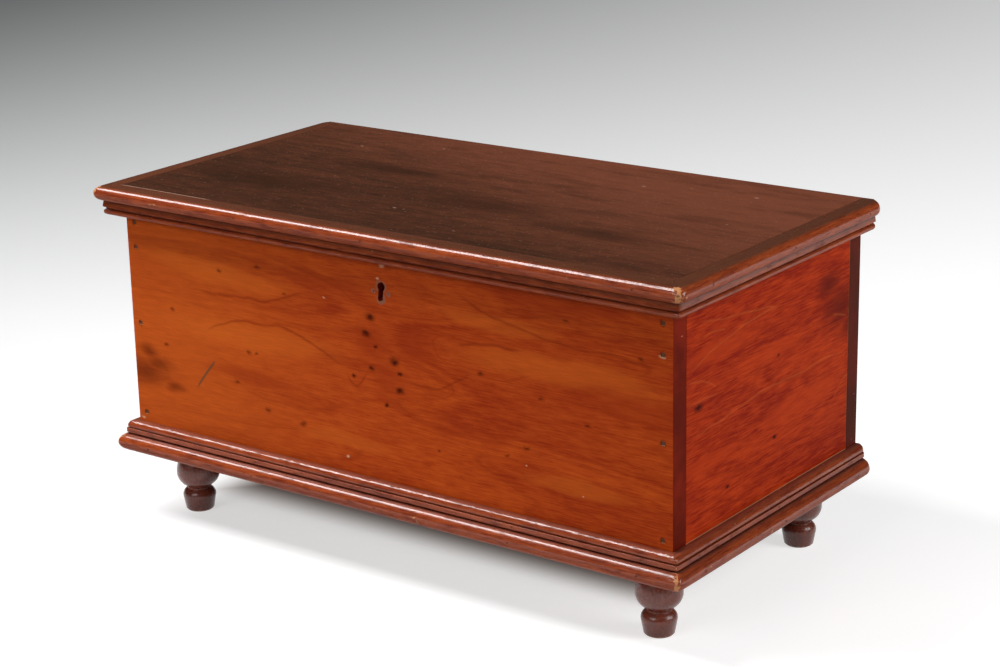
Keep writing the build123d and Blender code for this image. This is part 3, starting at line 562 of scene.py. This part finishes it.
def turned_foot(finish):
    """Turned and stained: dark maroon, shiny on its swells, bare round the bottom edge."""
    material, tree, shader, place = new_material("stained_turned_foot")
    upright = (0, math.radians(90), 0)
    colour, fibres = plain_sawn(tree, place, finish.light, finish.dark, upright, (0, 0, 0),
                                (0.05, 0.012), 1.0, fibre=0.35)
    crumbs = grain_noise(tree, place, 2.5 * MM, 2.5 * MM, 3.0, 0.6)
    height = add_node(tree, "ShaderNodeSeparateXYZ", [place], "Z")
    edge = add_node(tree, MATH, [crumbs, -5 * MM, height], operation="MULTIPLY_ADD")
    edge = add_node(tree, RANGE, [edge, -1.6 * MM, -0.6 * MM, 1.0, 0.0])
    specks = add_node(tree, RANGE, [crumbs, 0.6, 0.68], interpolation_type="SMOOTHSTEP")
    colour = layered(tree, colour, ((specks, 0.5, darker(finish.dark, 0.4)), (edge, 0.7, finish.bare)))
    old_varnish(tree, shader, colour, 0.45, 0.1, 0.9, 0.15)
    crumbly = add_node(tree, RANGE, [crumbs, 0.3, 0.7, 0.08, 0.4])
    tree.links.new(crumbly, shader.inputs["Coat Roughness"])
    add_relief(tree, shader, fibres, 0.08 * MM, crumbs)
    return material


def aged_iron(finish, name, colour, metallic, rough):
    """Wrought iron gone dull, with brown rust in patches."""
    material, tree, shader, place = new_material(name)
    patches = grain_noise(tree, place, 6 * MM, 6 * MM, 4.0, 0.6)
    rusty = add_node(tree, RANGE, [patches, 0.42, 0.66], interpolation_type="SMOOTHSTEP")
    tree.links.new(layered(tree, colour, ((rusty, 1.0, finish.rust),)), shader.inputs["Base Color"])
    shader.inputs["Metallic"].default_value = metallic
    shader.inputs["Specular IOR Level"].default_value = 0.2
    shader.inputs["Roughness"].default_value = rough
    add_relief(tree, shader, patches, 0.1 * MM)
    return material


def merged_copy(node):
    """A CAD node's shape with its doubles merged and its flat faces joined."""
    bm = bmesh.new()
    bm.from_mesh(frame["nodes"][node].data)
    bmesh.ops.remove_doubles(bm, verts=bm.verts, dist=0.001 * MM)
    bmesh.ops.dissolve_limit(bm, angle_limit=math.radians(0.5), verts=bm.verts, edges=bm.edges)
    bm.normal_update()
    return bm


# Edges that turn by less than the first angle or are shorter than the length aren't bevelled, which
# leaves out the rims of small holes. Edges that turn by more than the second angle are shaded sharp.
BEVEL_ANGLE = math.radians(30)
BEVEL_SHORTEST = 0.45 * MM
SHARP_ANGLE = math.radians(35)


def soften(bm, width):
    """Bevels the sharp edges that stand out."""
    edges = []
    for edge in bm.edges:
        if len(edge.link_faces) == 2 and edge.calc_length() > BEVEL_SHORTEST:
            if edge.calc_face_angle_signed() > BEVEL_ANGLE:
                edges.append(edge)
    bmesh.ops.bevel(bm, geom=edges, offset=width, offset_type="OFFSET", segments=2, profile=0.5,
                    affect="EDGES", clamp_overlap=False, material=-1)
    bm.normal_update()


def slice_at(bm, point, direction):
    """Cuts the faces along a plane, and takes nothing away."""
    bmesh.ops.bisect_plane(bm, geom=bm.verts[:] + bm.edges[:] + bm.faces[:], dist=0.0001 * MM,
                           plane_co=point, plane_no=direction)


def put_in_scene(name, data):
    """A new object of a mesh, a lamp or a camera, in the scene."""
    thing = bpy.data.objects.new(name, data)
    bpy.context.scene.collection.objects.link(thing)
    return thing


def dress(bm, node, body, materials):
    """Makes the finished piece of a bmesh and lets it stand for its CAD node."""
    mesh = bpy.data.meshes.new(f"{node}_dressed")
    bm.to_mesh(mesh)
    bm.free()
    for material in materials:
        mesh.materials.append(material)
    mesh.polygons.foreach_set("use_smooth", [True] * len(mesh.polygons))
    mesh.set_sharp_from_angle(angle=SHARP_ANGLE)
    piece = put_in_scene(f"{node}_dressed", mesh)
    # Large flat faces keep their own normal, so that only the softened edges turn the light
    piece.modifiers.new("weighted_normals", "WEIGHTED_NORMAL").keep_sharp = True
    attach(piece, body)
    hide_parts(node)


def paint_node(node, material):
    """Gives a CAD node one material."""
    mesh = frame["nodes"][node].data
    mesh.materials.clear()
    mesh.materials.append(material)


def noise_at(point, size, seed):
    """Smooth noise from -1 to 1 whose features are size metres across."""
    return noise.noise(Vector(point) / size + Vector((seed, 1.7 * seed, 2.3 * seed)))


def side_of(normal, outward):
    """0 outside, 1 end grain, 2 inside, by the way that a board's face looks."""
    if normal.dot(outward) > 0.5:
        return 0
    if abs(normal.dot(Vector((outward.y, outward.x, 0)))) > 0.5:
        return 1
    return 2


class CHEST_OT_case(bpy.types.Operator):
    """Dresses the front, back, end and bottom boards"""
    bl_idname = "chest.case"
    bl_label = "Case boards"

    def execute(self, context):
        finish = context.scene.chest_case
        front = varnished_front(finish)
        right = varnished_end(finish, "varnished_poplar_right_end", True)
        left = varnished_end(finish, "varnished_poplar_left_end", False)
        grain = varnished_end_grain(finish)
        back = bare_board("bare_poplar_back", finish.back_light, finish.back_dark)
        inside = bare_board("bare_poplar_inside", finish.inside_light, finish.inside_dark)
        end_inside = bare_board("bare_poplar_end_inside", finish.inside_light, finish.inside_dark,
                                CROSSWISE)
        boards = (("front_board", (0, -1, 0), front), ("back_board", (0, 1, 0), back),
                  ("left_end_board", (-1, 0, 0), left), ("right_end_board", (1, 0, 0), right),
                  ("bottom_board", (0, 0, -1), back))
        for node, direction, outside in boards:
            outward = Vector(direction)
            bm = merged_copy(node)
            soften(bm, finish.arris)
            for face in bm.faces:
                face.material_index = side_of(face.normal, outward)
            bare = end_inside if outward.x else inside
            dress(bm, node, "case", [outside, grain, bare])
        return {"FINISHED"}


class CHEST_OT_lid(bpy.types.Operator):
    """Dresses the lid board"""
    bl_idname = "chest.lid"
    bl_label = "Lid board"

    def execute(self, context):
        finish = context.scene.chest_lid
        top = varnished_lid(finish)
        case = context.scene.chest_case
        under = bare_board("bare_poplar_lid", case.inside_light, case.inside_dark)
        bm = merged_copy("lid_board")
        soften(bm, finish.arris)
        for face in bm.faces:
            face.material_index = 0 if face.normal.z > -0.5 else 1
        dress(bm, "lid_board", "lid", [top, under])
        return {"FINISHED"}


# Distances from a mitre or an end, in millimetres, at which a strip is sliced to wear there, and the
# step between slices along the rest of it
CORNER_SLICES = (0.6, 1.3, 2.1, 3.0, 4.0, 5.2, 6.6, 8.2, 10.0, 12.5, 16.0)
SLICE_STEP = 8 * MM

# Wear is 1 at a front corner and END_WEAR at a back end, and falls by 1 over that many radii
CORNER_REACH = 2.2
END_WEAR, END_REACH = 0.8, 1.5
# How deep a worn corner crumbles, the noise over which an edge is knocked, and how bare that leaves it
CRUMBLE = 0.9 * MM
KNOCK_START = 0.45
KNOCK_BARING = 1.6
# How far below its highest line a strip still counts as its top
TOP_DEPTH = 1.5 * MM
# The side strips are less bare than the front ones
SIDE_BARING = 0.6

# Kinds of strip: the body, the distances from the case between which wear grows, the radii of the front
# left, front right and back corners, and how far the varnish has gone from the worst of them
STRIPS = (("lid_nosing", "lid", 12, 18, (4.0, 7.0, 8.0), 1.0),
          ("lid_lip", "lid", 5, 12, (1.2, 1.6, 2.0), 0.3),
          ("base_moulding", "case", 3, 8, (1.5, 2.5, 2.0), 0.6),
          ("base_nosing", "case", 5, 13, (3.0, 5.0, 4.0), 1.0))
# The sides that a strip can be on, with the sign of X there, 0 for the front
SIDES = {"front": 0, "left": -1, "right": 1}


def clamped(share):
    """The share, kept from 0 to 1."""
    return max(0.0, min(1.0, share))


def wear_round(distance, radius, full_turn):
    """How far a strip's outer line moves along and inwards where its corner has worn round."""
    if distance >= radius:
        return 0.0, 0.0
    turn = (1 - distance / radius) * full_turn
    return radius * (1 - math.sin(turn)) - distance, radius * (1 - math.cos(turn))


def slice_strip(bm, sign):
    """Slices a strip close together by its mitres and ends, and evenly along the rest of it."""
    if sign == 0:
        for mirror in (-1, 1):
            for distance in CORNER_SLICES:
                slice_at(bm, (mirror * (HALF_LENGTH - distance * MM), FRONT_Y, 0), (1, mirror, 0))
        start, length, along = -HALF_LENGTH, 2 * HALF_LENGTH, Vector((1, 0, 0))
    else:
        for distance in CORNER_SLICES:
            slice_at(bm, (sign * HALF_LENGTH, FRONT_Y + distance * MM, 0), (1, sign, 0))
            slice_at(bm, (0, BACK_Y - distance * MM, 0), (0, 1, 0))
        start, length, along = FRONT_Y, BACK_Y - FRONT_Y, Vector((0, 1, 0))
    for index in range(3, int(length / SLICE_STEP) - 2):
        slice_at(bm, along * (start + index * SLICE_STEP), along)


def wear_strip(bm, sign, ripple, top, inner, outer, rounds, baring):
    """Ripples from the plane, rounded mitres and ends, and knocks along the edges.

    The attribute worn says where the varnish is gone, and upward where a strip shows its top.
    """
    worn = bm.verts.layers.float.new("worn")
    upward = bm.verts.layers.float.new("upward")
    left_round, right_round, back_round = (radius * MM for radius in rounds)
    for vert in bm.verts:
        x, y, z = vert.co
        if sign == 0:
            out = FRONT_Y - y
            ends = ((HALF_LENGTH + out - x, right_round, -1), (HALF_LENGTH + out + x, left_round, 1))
        else:
            out = sign * x - HALF_LENGTH
            ends = ((y - FRONT_Y + out, right_round if sign > 0 else left_round, 1),)
        grown = clamped((out - inner * MM) / ((outer - inner) * MM))
        grown = grown * grown * (3 - 2 * grown)
        along, inward, wear = 0.0, 0.0, 0.0
        for distance, radius, direction in ends:
            moved, drawn = wear_round(distance, radius, math.pi / 4)
            along += moved * direction
            inward += drawn
            wear = max(wear, 1 - distance / (CORNER_REACH * radius))
        if sign != 0:
            distance = BACK_Y - y
            moved, drawn = wear_round(distance, back_round, math.pi / 2)
            along -= moved
            inward += drawn
            wear = max(wear, END_WEAR - distance / (END_REACH * back_round))
        waves = 0.7 * noise_at(vert.co, 70 * MM, 3.1) + 0.3 * noise_at(vert.co, 14 * MM, 5.7)
        inward += ripple * (1 + waves)
        if wear > 0:
            inward += wear * CRUMBLE * (0.5 + 0.5 * noise_at(vert.co, 5 * MM, 9.2))
        knock = max(0.0, noise_at(vert.co, 9 * MM, 2.4) - KNOCK_START)
        patchy = 0.8 + 0.5 * noise_at(vert.co, 4 * MM, 6.6)
        vert[worn] = grown * max(wear * baring * patchy, knock * KNOCK_BARING)
        vert[upward] = clamped((z - top) / TOP_DEPTH + 1)
        inward *= grown
        along *= grown
        if sign == 0:
            vert.co = Vector((x + along, y + inward, z))
        else:
            vert.co = Vector((x - sign * inward, y + along, z))
    bm.normal_update()


class CHEST_OT_mouldings(bpy.types.Operator):
    """Dresses the lid's nosing and lip and the base's moulding and nosing"""
    bl_idname = "chest.mouldings"
    bl_label = "Mouldings"

    def execute(self, context):
        finish = context.scene.chest_mouldings
        materials = {}
        for body, top in (("lid", finish.lid_top), ("case", finish.base_top)):
            for run, turn in (("lengthwise", LENGTHWISE), ("crosswise", CROSSWISE)):
                name = f"varnished_{body}_moulding_{run}"
                materials[body, run] = varnished_moulding(finish, name, turn, top)
        for kind, body, inner, outer, rounds, baring in STRIPS:
            for side, sign in SIDES.items():
                node = f"{kind}_{side}"
                bm = merged_copy(node)
                soften(bm, finish.arris)
                slice_strip(bm, sign)
                bared = SIDE_BARING * baring if sign else baring
                wear_strip(bm, sign, finish.ripple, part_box(node)[1].z, inner, outer, rounds, bared)
                material = materials[body, "crosswise" if sign else "lengthwise"]
                dress(bm, node, body, [material])
        return {"FINISHED"}


class CHEST_OT_feet(bpy.types.Operator):
    """Dresses the four turned feet"""
    bl_idname = "chest.feet"
    bl_label = "Feet"

    def execute(self, context):
        material = turned_foot(context.scene.chest_feet)
        for node in ("foot_front_left", "foot_front_right", "foot_back_left", "foot_back_right"):
            dress(merged_copy(node), node, "case", [material])
        return {"FINISHED"}


class CHEST_OT_metalwork(bpy.types.Operator):
    """Finishes the hinges, the lock, the screws, the nails and the brads"""
    bl_idname = "chest.metalwork"
    bl_label = "Metalwork"

    def execute(self, context):
        finish = context.scene.chest_metal
        iron = aged_iron(finish, "dull_wrought_iron", finish.iron, 0.9, 0.5)
        nails = aged_iron(finish, "rusted_nail_iron", finish.nail, 0.0, 0.8)
        for row in frame["record"]["subparts"]:
            slot = row["material_slot"]
            if slot in ("hinge_iron", "lock_iron", "screw_iron"):
                paint_node(row["node"], iron)
            elif slot == "nail_iron":
                paint_node(row["node"], nails)
        return {"FINISHED"}


class CHEST_OT_stage(bpy.types.Operator):
    """Makes the floor, the lamps and the camera"""
    bl_idname = "chest.stage"
    bl_label = "Stage"

    def execute(self, context):
        finish = context.scene.chest_stage
        make_floor(finish)
        make_world()
        make_lamps(finish)
        make_camera()
        context.scene.view_settings.view_transform = "Standard"
        return {"FINISHED"}


FLOOR_RADIUS = 30.0

# Painted shade greys the paper as its place times this direction goes from the first of these values to
# the second
FAR_DIRECTION = (-0.1837, -0.0174, 0)
FAR_START, FAR_END = -0.34, 0.643
# The share of light that the paper throws back, and its own glow in the open and under the chest
PAPER_SHARE = (0.7, 0.7, 0.7)
GLOW_OPEN, GLOW_SHADED = 0.8, 0.08
# Middle and half size of the shaded floor under the chest, which the front light reaches into, and the
# width over which it fades
SHADE_MIDDLE = (-0.03, 0.03, 0)
SHADE_HALF = (0.26, 0.11, 0)
SHADE_FADE = 0.07

# What lights the chest from all round, low down and overhead, and what its shine mirrors
WORLD_LOW = (0.16, 0.165, 0.165)
WORLD_HIGH = (0.05, 0.05, 0.05)
WORLD_MIRRORED = (0.03, 0.03, 0.03)

# The lamps: place, size, the way that the back looks, and the setting for the power. The wide one above
# the left is what the rounds of the front mouldings mirror as one bright line.
LAMPS = (("wide_lamp", (-1.15, -0.6, 1.75), (1.6, 0.65), (0, 0, 1), "wide_power"),
         ("front_lamp", (-0.2, -2.4, 1.5), (1.6, 1.2), (-0.08, -0.87, 0.48), "front_power"),
         ("side_lamp", (2.2, 0.5, 1.3), (1.2, 1.2), (0.87, 0.2, 0.45), "side_power"))

# The camera, solved from the chest's corners in the photograph, in metres and radians
CAMERA_PLACE = Vector((1.21872, -1.61563, 0.81412))
CAMERA_TURN = Euler((1.26848, 0.06833, 0.56673), "YXZ")
FOCAL_PIXELS = 2387.23
IMAGE_WIDTH = 1000
SENSOR_WIDTH = 36.0


def make_floor(finish):
    """A pale paper floor that glows a little for the camera, and that the chest shades."""
    bm = bmesh.new()
    bmesh.ops.create_circle(bm, cap_ends=True, radius=FLOOR_RADIUS, segments=64)
    mesh = bpy.data.meshes.new("floor")
    bm.to_mesh(mesh)
    bm.free()
    floor = put_in_scene("floor", mesh)
    material = bpy.data.materials.new("pale_paper_floor")
    tree = empty_tree(material)
    place = add_node(tree, "ShaderNodeTexCoord", output="Object")
    # Painted shade: the paper is white round the chest and greys far behind it, darker to the left
    far = add_node(tree, VECTOR_MATH, [place, FAR_DIRECTION], "Value", operation="DOT_PRODUCT")
    grey = add_node(tree, RANGE, [far, FAR_START, FAR_END], interpolation_type="SMOOTHSTEP")
    # How far outside the shaded box a place is, less than 0 inside it
    away = add_node(tree, VECTOR_MATH, [place, SHADE_MIDDLE], operation="SUBTRACT")
    away = add_node(tree, VECTOR_MATH, [away], operation="ABSOLUTE")
    away = add_node(tree, VECTOR_MATH, [away, SHADE_HALF], operation="SUBTRACT")
    parts = add_node(tree, "ShaderNodeSeparateXYZ", [away]).node.outputs
    outside = add_node(tree, MATH, [parts["X"], parts["Y"]], operation="MAXIMUM")
    shaded = add_node(tree, RANGE, [outside, -SHADE_FADE, 0.0, 1.0, 0.0],
                      interpolation_type="SMOOTHSTEP")
    colour = layered(tree, finish.floor, ((grey, 1.0, finish.far), (shaded, 1.0, finish.shaded)))
    lit = add_node(tree, MIX, {0: 1.0, 6: colour, 7: PAPER_SHARE}, 2, data_type="RGBA",
                   blend_type="MULTIPLY")
    # The paper's own light, for what sees it straight or in a mirror, fades out under the chest
    light = add_node(tree, RANGE, [shaded, 0.0, 1.0, GLOW_OPEN, GLOW_SHADED])
    rays = add_node(tree, "ShaderNodeLightPath").node.outputs
    seen = add_node(tree, MATH, [rays["Is Camera Ray"], rays["Is Glossy Ray"]], operation="MAXIMUM")
    light = add_node(tree, MATH, [seen, light], operation="MULTIPLY")
    glow = add_node(tree, "ShaderNodeEmission", {"Color": colour, "Strength": light})
    diffuse = add_node(tree, "ShaderNodeBsdfDiffuse", {"Color": lit})
    surface = add_node(tree, "ShaderNodeAddShader", [diffuse, glow])
    add_node(tree, "ShaderNodeOutputMaterial", [surface])
    mesh.materials.append(material)


def make_world():
    """Soft light from all round, dimmer overhead and in reflections."""
    world = bpy.data.worlds.new("soft_studio")
    tree = empty_tree(world)
    glossy = add_node(tree, "ShaderNodeLightPath", output="Is Glossy Ray")
    direction = add_node(tree, "ShaderNodeTexCoord", output="Generated")
    height = add_node(tree, "ShaderNodeSeparateXYZ", [direction], "Z")
    raised = add_node(tree, RANGE, [height, 0.0, 0.5], interpolation_type="SMOOTHSTEP")
    colour = layered(tree, WORLD_LOW, ((raised, 1.0, WORLD_HIGH), (glossy, 1.0, WORLD_MIRRORED)))
    background = add_node(tree, "ShaderNodeBackground", [colour, 1.0])
    add_node(tree, "ShaderNodeOutputWorld", [background])
    bpy.context.scene.world = world


def make_lamps(finish):
    """The three soft lamps, at the powers that the stage's settings give."""
    for name, place, size, back, power in LAMPS:
        lamp = bpy.data.lights.new(name, "AREA")
        lamp.shape = "RECTANGLE"
        lamp.size, lamp.size_y = size
        lamp.energy = getattr(finish, power)
        turn = Vector(back).to_track_quat("Z", "Y").to_matrix().to_4x4()
        put_in_scene(name, lamp).matrix_world = Matrix.Translation(place) @ turn


def make_camera():
    """The camera that took the photograph."""
    lens = bpy.data.cameras.new("photo_camera")
    lens.sensor_width = SENSOR_WIDTH
    lens.lens = FOCAL_PIXELS / IMAGE_WIDTH * SENSOR_WIDTH
    lens.clip_start, lens.clip_end = 0.05, 100
    camera = put_in_scene("photo_camera", lens)
    camera.rotation_mode = "YXZ"
    camera.location = CAMERA_PLACE
    camera.rotation_euler = CAMERA_TURN
    bpy.context.scene.camera = camera


class CHEST_PT_panel(bpy.types.Panel):
    """Lists the chest's pieces and their finishes"""
    bl_idname = "CHEST_PT_panel"
    bl_label = "Blanket chest"
    bl_space_type = "VIEW_3D"
    bl_region_type = "UI"
    bl_category = "Chest"

    def draw(self, context):
        for operator, settings, group in STEPS:
            box = self.layout.box()
            box.operator(operator.bl_idname)
            for name in group.__annotations__:
                box.prop(getattr(context.scene, settings), name)


# Each operator, the name of its settings and their kind, in the order in which the chest is dressed
STEPS = ((CHEST_OT_case, "chest_case", CaseFinish),
         (CHEST_OT_lid, "chest_lid", LidFinish),
         (CHEST_OT_mouldings, "chest_mouldings", MouldingFinish),
         (CHEST_OT_feet, "chest_feet", FootFinish),
         (CHEST_OT_metalwork, "chest_metal", MetalFinish),
         (CHEST_OT_stage, "chest_stage", StageFinish))


def register():
    for operator, settings, group in STEPS:
        bpy.utils.register_class(group)
        setattr(bpy.types.Scene, settings, PointerProperty(type=group))
        bpy.utils.register_class(operator)
    bpy.utils.register_class(CHEST_PT_panel)


def unregister():
    bpy.utils.unregister_class(CHEST_PT_panel)
    for operator, settings, group in reversed(STEPS):
        bpy.utils.unregister_class(operator)
        delattr(bpy.types.Scene, settings)
        bpy.utils.unregister_class(group)


def main():
    register()
    bpy.ops.chest.case()
    bpy.ops.chest.lid()
    bpy.ops.chest.mouldings()
    bpy.ops.chest.feet()
    bpy.ops.chest.metalwork()
    bpy.ops.chest.stage()


if __name__ == "__main__":
    main()
